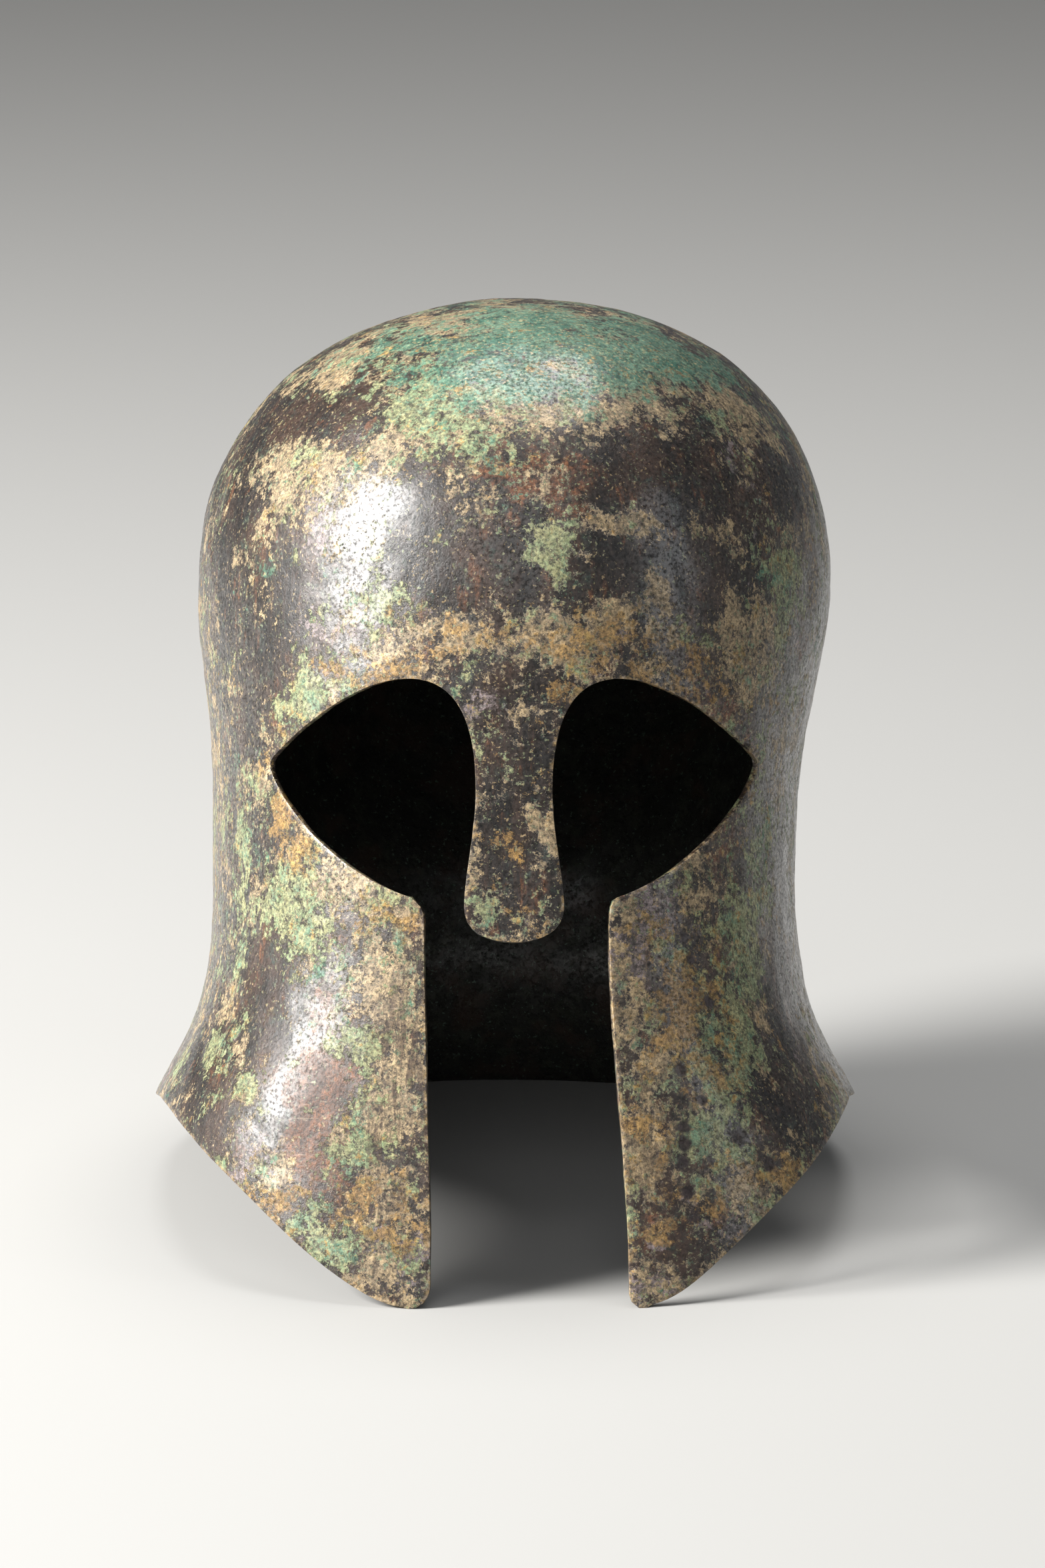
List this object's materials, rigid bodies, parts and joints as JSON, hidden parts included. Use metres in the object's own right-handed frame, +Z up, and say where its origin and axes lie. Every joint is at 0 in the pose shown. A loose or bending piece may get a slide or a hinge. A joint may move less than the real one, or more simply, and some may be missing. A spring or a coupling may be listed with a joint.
{
  "type": "corinthian helmet",
  "caption": "Bronze helmet raised as one sheet: egg-shaped dome, flared neck guard, long cheek pieces, almond eye openings and a spoon-shaped nasal.",
  "frame": {"origin": "centre of the box's base, where the helmet stands on its two cheek feet and the rear of its neck guard", "axes": "+Z up, +Y from the face to the back of the neck, +X across the face to the viewer's right"},
  "size_m": [0.2086, 0.2942, 0.2627],
  "materials": {
    "patinated_bronze": "corroded bronze with a mottled green, cream and brown patina"
  },
  "bodies": {
    "root": {"helmet_shell": "patinated_bronze"}
  },
  "joints": []
}
